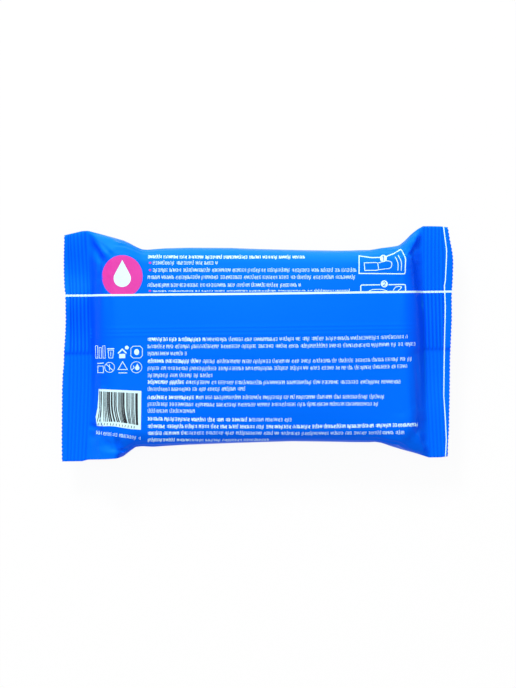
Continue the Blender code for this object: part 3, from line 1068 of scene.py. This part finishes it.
# %% Four inks
def ink_material(name, colour, faded, roughness):
    """Printing ink: even, with the fine mottle that a screen leaves."""
    made, wire = blank_material(name)
    place = wire.make("ShaderNodeTexCoord", out=3)
    mottle = wire.make("ShaderNodeTexNoise", Vector=place, Scale=2600.0, Detail=2.0)
    patches = wire.make("ShaderNodeTexNoise", Vector=place, Scale=160.0, Detail=3.0)
    shade = (mottle * 0.5 + patches * 0.5).between(0.35, 0.7).mix(colour, faded)
    bump = wire.make("ShaderNodeBump", Strength=0.1, Distance=0.00005, Height=mottle)
    finish = wire.make("ShaderNodeBsdfPrincipled", Base_Color=shade, Roughness=patches * 0.15 + roughness,
                       Normal=bump, Specular_IOR_Level=0.15)
    return finish_material(made, finish)


white_ink = ink_material("white_ink", (0.7, 0.95, 1.0, 1), (0.6, 0.9, 1.0, 1), 0.32)
pink_ink = ink_material("pink_ink", (0.68, 0.044, 0.37, 1), (0.62, 0.038, 0.34, 1), 0.32)
blue_ink = ink_material("blue_ink", (0.002, 0.16, 0.9, 1), (0.002, 0.13, 0.85, 1), 0.32)
black_ink = ink_material("black_ink", (0.012, 0.014, 0.02, 1), (0.03, 0.03, 0.035, 1), 0.4)


# %% [markdown]
# Every printed shape is an outline in the photograph's pixels, turned into a thin closed plate. A wide plate is
# cut by a fine grid first, or it couldn't bend with the film. Where ink lies on ink it stands a little higher.

# %% Plates and strokes of ink
GRID = 0.5  # millimetres
# Bottom and top of a plate above the film's face, in millimetres
FIRST_INK, SECOND_INK, BARS_INK, NUMBERS_INK = (-0.03, 0.05), (0.02, 0.09), (0.03, 0.09), (0.06, 0.12)


def add_plate(shape, outline, levels=FIRST_INK, grid=GRID):
    """Adds a closed plate with an outline given in millimetres."""
    low, high = levels
    plate = bmesh.new()
    bottom = plate.faces.new([plate.verts.new((x * MM, y * MM, low * MM)) for x, y in outline])
    grown = bmesh.ops.extrude_face_region(plate, geom=[bottom])
    for vertex in [item for item in grown["geom"] if isinstance(item, bmesh.types.BMVert)]:
        vertex.co.z = high * MM
    for axis in (0, 1):
        nearest, farthest = min(point[axis] for point in outline), max(point[axis] for point in outline)
        if farthest - nearest <= 2 * grid:
            continue
        for k in range(math.ceil(nearest / grid), math.floor(farthest / grid) + 1):
            at, facing = [0, 0, 0], [0, 0, 0]
            at[axis], facing[axis] = k * grid * MM, 1
            bmesh.ops.bisect_plane(plate, geom=plate.verts[:] + plate.edges[:] + plate.faces[:], dist=1e-8,
                                   plane_co=at, plane_no=facing)
    bmesh.ops.triangulate(plate, faces=[face for face in plate.faces if len(face.verts) > 4])
    bmesh.ops.recalc_face_normals(plate, faces=plate.faces)
    mesh = mesh_of("plate", plate)
    shape.from_mesh(mesh)
    bpy.data.meshes.remove(mesh)


def stroke_quads(points, width, closed=False):
    """The four-sided pieces of a drawn line, which meet in mitred corners."""
    points = [Vector(point) for point in points]
    count = len(points)
    pairs = []
    for i, point in enumerate(points):
        before = points[i - 1] if closed or i > 0 else 2 * point - points[i + 1]
        after = points[(i + 1) % count] if closed or i < count - 1 else 2 * point - points[i - 1]
        arriving, leaving = (point - before).normalized(), (after - point).normalized()
        middle = (arriving + leaving).normalized()
        side = Vector((-middle.y, middle.x)) * (width / 2 / max(0.4, middle.dot(leaving)))
        pairs.append((point + side, point - side))
    pairs += pairs[:1] if closed else []
    return [(*one, *reversed(two)) for one, two in zip(pairs, pairs[1:])]


def in_mm(points):
    return [seen(*point) for point in points]


def drawn(shape, points, width, closed=False, levels=FIRST_INK):
    """Adds a line through pixels, with its width in millimetres. Without a width the shape is filled."""
    for outline in stroke_quads(in_mm(points), width, closed) if width else [in_mm(points)]:
        add_plate(shape, outline, levels)


def ring_of(px, py, radius, count, tall=None):
    """Pixels round a circle, or round an oval with another half height."""
    turns = [2 * math.pi * k / count for k in range(count)]
    return [(px + radius * math.cos(turn), py + (tall or radius) * math.sin(turn)) for turn in turns]


def ink_object(name, mesh, tree, **values):
    """Puts a mesh through a tree that lays it on the film, and the result on the frame."""
    piece = add_object(name, mesh)
    through_tree(piece, tree, Film=film, **values)
    piece.data.shade_flat()
    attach(piece, "root")


print("plates of ink from", FIRST_INK[0], "to", NUMBERS_INK[1], "mm above the film's face")


# %% [markdown]
# ## Small print
#
# The lower half of the back is full of small print. Here it's rows of plain strokes, with the size, weight,
# gaps and line lengths of small print. That's about a thousand marks, so they're instances: a tree puts one of
# twelve marks on each point of each line, turns it along the line, makes it real and lays it on the film. Each
# mark has only a few faces. The bold words use a second set of the same marks, drawn with a thicker stroke,
# and the line that the fin's edge half hides uses a third, of which only the tops are left.

# %% Twelve plain marks
X_HEIGHT = 1.35  # millimetres
# A cut mark begins at CUT_FROM of that height. What is left of a stroke under SHORTEST is drawn up to CUT_TOP.
CUT_FROM, CUT_TOP, SHORTEST = 0.66, 0.9, 0.095
MARKS = (  # strokes, from x, y to x, y, in a box one unit high and about 0.6 wide
    [(0.06, 0, 0.06, 1), (0.3, 0.42, 0.3, 1), (0.54, 0, 0.54, 1)],
    [(0.06, 0, 0.06, 0.7), (0.2, 0.92, 0.56, 0.92), (0.5, 0.05, 0.5, 0.72)],
    [(0.06, 0.3, 0.06, 1), (0.06, 0.08, 0.56, 0.08), (0.5, 0.3, 0.5, 1.3)],
    [(0.1, 0, 0.32, 1), (0.36, 0, 0.56, 0.75), (0.02, 0.93, 0.2, 0.93)],
    [(0.06, 0, 0.06, 1), (0.24, 0.5, 0.56, 0.5), (0.3, 0.08, 0.56, 0.08), (0.3, 0.92, 0.56, 0.92)],
    [(0.08, -0.3, 0.08, 0.78), (0.28, 0.92, 0.56, 0.92), (0.4, 0, 0.4, 0.72)],
    [(0.04, 0.92, 0.56, 0.92), (0.04, 0.5, 0.34, 0.5), (0.04, 0.08, 0.56, 0.08), (0.5, 0.25, 0.5, 0.75)],
    [(0.06, 0, 0.06, 0.44), (0.06, 0.62, 0.06, 1), (0.3, 0, 0.3, 1), (0.54, 0, 0.54, 0.6)],
    [(0.5, 0, 0.5, 1), (0.04, 0.75, 0.34, 0.75), (0.04, 0.3, 0.34, 0.3)],
    [(0.06, 0.1, 0.3, 0.9), (0.34, 0.1, 0.54, 0.9), (0.3, -0.02, 0.56, -0.02)],
    [(0.06, 0.2, 0.06, 1), (0.3, 0, 0.3, 0.8), (0.54, 0.2, 0.54, 1)],
    [(0.04, 0.06, 0.4, 0.06), (0.12, 0.22, 0.12, 1), (0.5, 0.3, 0.5, 1), (0.26, 0.6, 0.36, 0.6)],
)


def mark_set(name, stroke, top_only=False):
    """A collection of the twelve marks as small meshes, for instancing."""
    marks = bpy.data.collections.new(name)
    for number, strokes in enumerate(MARKS):
        shape = bmesh.new()
        for x1, y1, x2, y2 in strokes:
            if top_only:
                y1, y2 = max(y1, CUT_FROM), max(y2, CUT_FROM)
                if math.hypot(x2 - x1, y2 - y1) < SHORTEST:
                    x2, y1, y2 = x1, CUT_FROM, CUT_TOP
            line = [(x * X_HEIGHT, (y - 0.5) * X_HEIGHT) for x, y in ((x1, y1), (x2, y2))]
            for quad in stroke_quads(line, stroke):
                add_plate(shape, quad)
        mesh = mesh_of(f"{name}_{number:02d}", shape)
        marks.objects.link(bpy.data.objects.new(mesh.name, mesh))
    return marks


plain_marks = mark_set("plain_mark", 0.17)
bold_marks = mark_set("bold_mark", 0.27)
cut_marks = mark_set("cut_mark", 0.19, top_only=True)

# %% Where the lines of small print run
LINES = [  # left end, end of the bold words, right end, and the line's height at places along it, in pixels
    (148, 306, 306, [(160, 256.9), (208, 257.3), (304, 257.2)]),
    (153, 153, 218, [(160, 263.0), (208, 263.1)]),
    (153, 153, 356, [(160, 270.3), (356, 270.3)]),
    (148, 148, 356, [(160, 277.35), (356, 277.35)]),
    (148, 148, 302, [(160, 285.3), (304, 285.2)]),
    (148, 207, 409, [(160, 339.3), (208, 339.4), (256, 339.3), (304, 338.7), (352, 338.2), (409, 336.6)]),
    (148, 148, 416, [(160, 346.5), (208, 346.3), (256, 346.1), (304, 345.9), (352, 345.4), (416, 343.8)]),
    (148, 148, 188, [(160, 353.5), (188, 353.5)]),
    (148, 202, 414, [(160, 361.0), (208, 361.2), (256, 361.3), (304, 360.8), (352, 360.4), (414, 358.6)]),
    (148, 148, 407, [(160, 368.1), (208, 368.4), (256, 368.2), (304, 367.8), (352, 367.6), (407, 366.0)]),
    (148, 148, 216, [(160, 375.3), (216, 375.3)]),
    (148, 194, 401, [(160, 382.0), (256, 382.4), (352, 381.9), (401, 381.6)]),
    (148, 148, 246, [(160, 389.1), (246, 388.7)]),
    (148, 202, 385, [(160, 397.3), (256, 397.2), (352, 396.6)]),
    (148, 148, 380, [(160, 404.0), (208, 404.5), (256, 404.4), (352, 403.8)]),
    (148, 148, 197, [(160, 410.9), (197, 410.9)]),
    (148, 252, 293, [(160, 418.7), (208, 419.6), (293, 419.5)]),
    (148, 420, 420, [(160, 426.2), (208, 426.3), (256, 426.6), (304, 426.5), (352, 426.0), (419, 424.4)]),
    (148, 187, 404, [(160, 433.1), (208, 432.7), (304, 433.3), (404, 432.4)]),
    (148, 191, 269, [(160, 439.8), (208, 440.1), (269, 439.6)]),
    (96, 96, 143, [(96, 432.4), (120, 435.2), (143, 438.6)]),
]
CUT_LINE = (153, 153, 351, [(148, 292.35), (351, 291.75)])  # the fin's edge hides it, all but its top
ADVANCE, GAP = 0.97, 0.62  # millimetres from mark to mark, and the extra between words
draw = random.Random(4)


def marks_along(left, bold_to, right, heights):
    """Places of the marks of one line: (x, y, turn, bold), in words of two to eleven marks."""
    places, px = [], float(left)
    left_in_word = draw.randint(5, 11)
    while px < right - 2:
        x, y = seen(px, level(heights, px))
        ahead = seen(px + 4, level(heights, px + 4))
        places.append((x, y, math.atan2(ahead[1] - y, ahead[0] - x), px < bold_to - 3))
        px += ADVANCE * draw.uniform(0.86, 1.14) / PIXEL
        left_in_word -= 1
        if left_in_word == 0:
            px += GAP / PIXEL
            left_in_word = draw.randint(2, 11)
    return places


all_marks = [place for line in LINES for place in marks_along(*line)]
cut_places = marks_along(*CUT_LINE)
print("marks to print", len(all_marks), "and", len(cut_places), "cut ones")


# %% [markdown]
# The tree gets bare points with their turn. It picks the mark by a random whole number with a fixed seed. Where
# the film leans away, a mark of true size covers less of the plan, so it's made that much smaller there.

# %% Print the small print
print_marks, flow = start_tree(
    "print_marks",
    Marks=("NodeSocketCollection", None),
    Film=("NodeSocketObject", None),
    Seed=("NodeSocketInt", 3),
    Ink=("NodeSocketMaterial", None),
)
start = flow["Geometry"]
choice = start.make("FunctionNodeRandomValue", {"data_type": "INT"}, out=2, input_4=0, input_5=len(MARKS) - 1,
                    Seed=flow["Seed"])
choices = start.make("GeometryNodeCollectionInfo", Collection=flow["Marks"], Separate_Children=True)
turned = start.make("ShaderNodeCombineXYZ", Z=attribute(print_marks, "turn"))
direction = film_below(print_marks, Wire(print_marks).make("GeometryNodeInputPosition"), flow["Film"])[1]
seen_size = []
for axis in (0, 1):
    lean = direction.make("ShaderNodeSeparateXYZ", out=axis, Vector=direction)
    seen_size.append(direction.math("MAXIMUM", direction.math("SQRT", 1 - lean * lean), 0.3))
size = start.make("ShaderNodeCombineXYZ", X=seen_size[0], Y=seen_size[1], Z=1.0)
stamped = start.make("GeometryNodeInstanceOnPoints", Points=start, Instance=choices, Pick_Instance=True,
                     Instance_Index=choice, Rotation=turned, Scale=size)
real = start.make("GeometryNodeRealizeInstances", Geometry=stamped)
end_tree(print_marks, laid(print_marks, real, flow["Film"]), flow["Ink"])


def small_print(name, places, marks, seed):
    """Prints one of the sets of marks at its places."""
    mesh = bpy.data.meshes.new(name)
    mesh.from_pydata([(x * MM, y * MM, 0) for x, y, _, _ in places], [], [])
    mesh.attributes.new("turn", "FLOAT", "POINT").data.foreach_set("value", [turn for _, _, turn, _ in places])
    ink_object(name, mesh, print_marks, Marks=marks, Seed=seed, Ink=white_ink)


small_print("small_print", [place for place in all_marks if not place[3]], plain_marks, 3)
small_print("bold_print", [place for place in all_marks if place[3]], bold_marks, 5)
small_print("cut_print", cut_places, cut_marks, 7)
for marks in (plain_marks, bold_marks, cut_marks):
    for mark in list(marks.objects):
        bpy.data.objects.remove(mark)
    bpy.data.collections.remove(marks)


# %% [markdown]
# ## Badge, pictures and bar code
#
# A badge stands in the upper left: a plain pink oval with a drop in it. The fin's edge cuts it off, because the
# film is folded over it. Two framed steps at the right show how the pack opens, and eight small plain signs
# stand over the bar code. All white shapes are one piece, and so are the bars.

# %% Pink badge
badge = bmesh.new()
edge_cuts = [(x, min(y, 294.2 + (122 - x) * 0.006)) for x, y in ring_of(122.5, 276.5, 20.3, 56, 21.2)]
for filled in (edge_cuts, ring_of(150.2, 263.0, 1.15, 10), ring_of(150.2, 270.3, 1.15, 10),
               [(149.1, 290.3), (151.3, 290.3), (151.3, 291.8), (149.1, 291.8)]):
    drawn(badge, filled, 0)
ink_object("pink_badge", mesh_of("pink_badge", badge), lay_ink, Ink=pink_ink)

# %% White drop in the badge
white_shape = bmesh.new()
drop_turns = [math.radians(62 + 236 * k / 26) for k in range(27)]  # from where the straight sides touch the round


def drop_at(px, py, radius):
    """A drop: a round belly, and straight sides that run up to a point."""
    belly = [(px + radius * math.sin(turn), py - radius * math.cos(turn)) for turn in drop_turns]
    return [(px, py - 2.13 * radius)] + belly


drawn(white_shape, drop_at(122.5, 278.5, 8.6), 0, levels=SECOND_INK)
print("drop of", len(drop_turns) + 1, "points")

# %% Pictures of the first and second step
PICTURES = [  # rounding of the corners in pixels, width in millimetres, closed or not, and pixels
    (1.6, 0.4, True, [(359.0, 256.0), (372.0, 257.8), (384.0, 257.4), (394.0, 253.6), (401.2, 249.0),
                      (405.4, 258.5), (404.8, 274.0), (382.0, 273.8), (358.8, 273.6)]),  # the first frame
    (1.8, 0.28, True, [(364.0, 263.0), (377.5, 262.6), (378.5, 270.3), (364.6, 270.6)]),  # the mouth
    (2.4, 0.28, False, [(378.0, 263.2), (386.0, 260.6), (392.0, 262.0), (391.0, 268.4), (378.4, 269.8)]),
    (2.8, 0.28, False, [(395.0, 257.0), (398.0, 263.0), (397.6, 270.6)]),  # the flap
    (2.8, 0.28, False, [(398.0, 255.2), (401.4, 262.0), (400.9, 270.8)]),
    (1.2, 0.4, False, [(360.6, 291.3), (360.4, 285.2), (379.8, 284.9)]),  # the second frame's top
    (1.2, 0.4, False, [(388.2, 284.8), (405.0, 284.6), (405.3, 291.0)]),
    (1.8, 0.28, False, [(368.5, 291.4), (372.0, 289.6), (382.0, 289.4), (387.0, 291.2)]),
    (1.8, 0.28, False, [(392.6, 290.9), (395.2, 286.8), (401.0, 286.4), (401.0, 288.6), (397.6, 290.8)]),
]


def soft_corners(points, reach):
    """Rounds the corners of a line in pixels. Its first and last point stay."""
    rounded = [points[0]]
    for before, corner, after in zip(points, points[1:], points[2:]):
        before, corner, after = Vector(before), Vector(corner), Vector(after)
        entry = corner + (before - corner).normalized() * min(reach, (before - corner).length / 2)
        leave = corner + (after - corner).normalized() * min(reach, (after - corner).length / 2)
        rounded += [tuple(entry), tuple((entry + 2 * corner + leave) / 4), tuple(leave)]
    return rounded + [points[-1]]


for reach, width, closed, points in PICTURES:
    drawn(white_shape, soft_corners(points, reach), width, closed)
for px, py in ((383.2, 258.6), (384.0, 284.0)):  # under the step numbers
    drawn(white_shape, ring_of(px, py, 3.5, 18), 0, levels=SECOND_INK)
print("picture lines", len(PICTURES))

# %% Small plain signs
POSTS = ((96.4, 345.8), (100.2, 347.6), (104.0, 345.8))  # left side and top, in pixels
SIGNS = [  # width in millimetres, or 0 for a filled shape, closed or not, and pixels
    *((0.18, True, [(px - 1.0, top), (px + 1.3, top), (px + 1.6, 358.2), (px - 0.7, 358.2)]) for px, top in POSTS),
    (0.32, False, [(107.6, 348.8), (114.6, 348.6)]),
    (0.22, True, [(108.4, 350.2), (109.2, 358.0), (113.2, 358.0), (113.9, 350.0)]),
    (0.2, False, [(111.1, 351.6), (111.1, 356.2)]),
    (0.5, False, [(118.4, 353.4), (122.6, 349.2), (126.8, 353.2)]),
    (0, True, [(119.6, 353.9), (125.6, 353.8), (125.6, 358.1), (119.6, 358.2)]),
    (0, True, ring_of(127.2, 347.6, 1.9, 12)),
    (0.22, True, [(133.5, 346.2), (140.5, 346.1), (142.7, 348.4), (142.7, 355.6), (140.5, 357.9), (133.5, 358.0),
                  (131.2, 355.8), (131.2, 348.4)]),
    (0, True, ring_of(137.0, 352.0, 2.5, 14, 3.0)),
    (0.22, True, [(98.0, 366.0), (103.4, 366.0), (103.8, 372.6), (97.8, 372.6)]),
    (0.3, False, [(97.4, 363.4), (104.0, 363.0)]),
    (0.2, True, ring_of(109.9, 367.3, 5.0, 22)),
    (0.24, False, [(106.6, 364.2), (113.2, 370.4)]),
    (0.22, False, [(109.9, 364.4), (109.9, 370.2)]),
    (0.26, True, [(123.0, 361.6), (127.6, 369.4), (118.4, 369.4)]),
    (0.28, False, [(118.8, 372.8), (127.4, 372.8)]),
    (0.2, True, ring_of(136.6, 367.2, 5.6, 22)),
    (0, True, drop_at(137.6, 368.0, 2.1)),
    (0.24, False, [(131.9, 370.0), (134.6, 367.6), (133.6, 365.6)]),
]
for width, closed, points in SIGNS:
    drawn(white_shape, points, width, closed)
print("signs drawn with", len(SIGNS), "shapes")

# %% The bar code's white field
FIELD = [(98.7, 389.0), (112.0, 389.5), (127.0, 390.2), (141.6, 390.8), (141.4, 410.0), (141.0, 429.5),
         (132.0, 429.0), (124.0, 427.8), (116.0, 426.4), (110.0, 426.0), (103.0, 426.2), (96.6, 426.0),
         (95.5, 417.0), (97.5, 408.0), (98.3, 398.0)]
drawn(white_shape, FIELD, 0)
ink_object("white_signs", mesh_of("white_signs", white_shape), lay_ink, Ink=white_ink)

# %% Bars and their ticks
def sunk(px):
    """How many pixels lower than at the left the foot of the bars is, because the film bends down there."""
    return max(0.0, (px - 112) * 0.13)


bars = bmesh.new()
px = 100.0
while px < 139.0:
    width = draw.choice((0.7, 0.75, 0.8, 1.2, 1.7))
    lean = 3.4 * math.sin(math.pi * min(1.0, max(0.0, (px - 103) / 36)) ** 0.8) - 0.7 * max(0.0, 104 - px)
    top, foot = 391.2 + (px - 99) * 0.05, 421.6 + sunk(px)
    way = []
    for share in (0, 0.25, 0.45, 0.6, 0.72, 0.84, 1):  # straight at first, and then bent by the wrinkles
        way.append((px + lean * max(0.0, (share - 0.45) / 0.55) ** 1.6, top + (foot - top) * share))
    drawn(bars, way, width * PIXEL, levels=BARS_INK)
    px += width + draw.choice((0.45, 0.5, 0.6, 0.8, 1.1))
for k in range(13):
    px = 98.6 + k * 3.0
    foot = 424.2 + sunk(px)
    drawn(bars, [(px, foot - 1.1), (px + draw.uniform(-0.6, 0.6), foot + 1.1)], 0.24, levels=BARS_INK)
ink_object("bar_code", mesh_of("bar_code", bars), lay_ink, Ink=black_ink)

# %% Numbers in the circles
NUMBERS = (
    (0.28, [(382.0, 257.4), (383.4, 256.4), (383.4, 260.9)]),
    (0.26, [(382.6, 282.7), (384.0, 281.8), (385.3, 282.8), (385.0, 284.0), (382.6, 286.0), (385.6, 286.0)]),
)
numbers = bmesh.new()
for width, points in NUMBERS:
    drawn(numbers, points, width, levels=NUMBERS_INK)
ink_object("step_numbers", mesh_of("step_numbers", numbers), lay_ink, Ink=blue_ink)


# %% [markdown]
# ## The reseal label
#
# On the front, which the pack lies on, a glued label closes the mouth for the wipes. It's a rounded rectangle
# of thicker film with a tab, lighter blue, with a pale edge, and a layer of adhesive joins it to the pack.
# Nothing of it shows from above, so it's finished plainly.

# %% Label and adhesive
LABEL_LEFT, LABEL_RIGHT, LABEL_HALF, TAB_END, TAB_HALF, CORNER = -43.3, 42.7, 23.0, 51.7, 10.0, 6.0


def label_outline(inset=0.0):
    """A rounded rectangle with a rounded tab at its right end, anticlockwise."""
    def arc(cx, cy, radius, first, last):
        turns = np.radians(np.linspace(first, last, 9))
        return [(cx + radius * math.cos(turn), cy + radius * math.sin(turn)) for turn in turns]

    left, right, half = LABEL_LEFT + inset, LABEL_RIGHT - inset, LABEL_HALF - inset
    tab_end, tab_half, corner = TAB_END - inset, TAB_HALF - inset, CORNER - inset
    outline = arc(right - corner, -half + corner, corner, -90, 0)
    outline += arc(tab_end - 5, -tab_half + 5, 5, -90, 0) + arc(tab_end - 5, tab_half - 5, 5, 0, 90)
    outline += arc(right - corner, half - corner, corner, 0, 90)
    outline += arc(left + corner, half - corner, corner, 90, 180)
    return outline + arc(left + corner, -half + corner, corner, 180, 270)


label_shape = bmesh.new()
for inset, levels in ((0.0, (0.0, 0.3)), (1.2, (0.3, 0.62))):  # the label, and its adhesive above it
    add_plate(label_shape, label_outline(inset), levels, grid=6.0)
label = add_object("reseal_label_film", mesh_of("reseal_label_film", label_shape))
print("label", [round(v / MM, 1) for v in label.dimensions])

# %% The label's film
made, wire = blank_material("label_film")
place = wire.make("ShaderNodeTexCoord", out=3)
middle = wire.make("ShaderNodeVectorMath", {"operation": "ABSOLUTE"}, Vector=place)
half_way = wire.make("ShaderNodeSeparateXYZ", out=1, Vector=middle)
fibre = wire.make("ShaderNodeTexNoise", Vector=place, Scale=300.0, Detail=4.0)
face = (half_way + fibre * 0.0006).between(0.0205, 0.0209).mix((0.02, 0.3, 0.95, 1), (0.55, 0.72, 0.95, 1))
bump = wire.make("ShaderNodeBump", Strength=0.2, Distance=0.0002, Height=fibre)
label_finish = wire.make("ShaderNodeBsdfPrincipled", Base_Color=face, Roughness=fibre * 0.2 + 0.2, Normal=bump,
                         Specular_IOR_Level=0.3)
label.data.materials.append(finish_material(made, label_finish))


# %% Put every piece on the frame
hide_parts("film_pack")
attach(film, "root")
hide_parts("reseal_label")
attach(label, "root")

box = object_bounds()
sizes = {"cad_box": [list(corner) for corner in cad_box], "visual_box": [list(corner) for corner in box]}
for name, corners in sizes.items():
    print(name, [[round(value / MM, 2) for value in corner] for corner in corners])
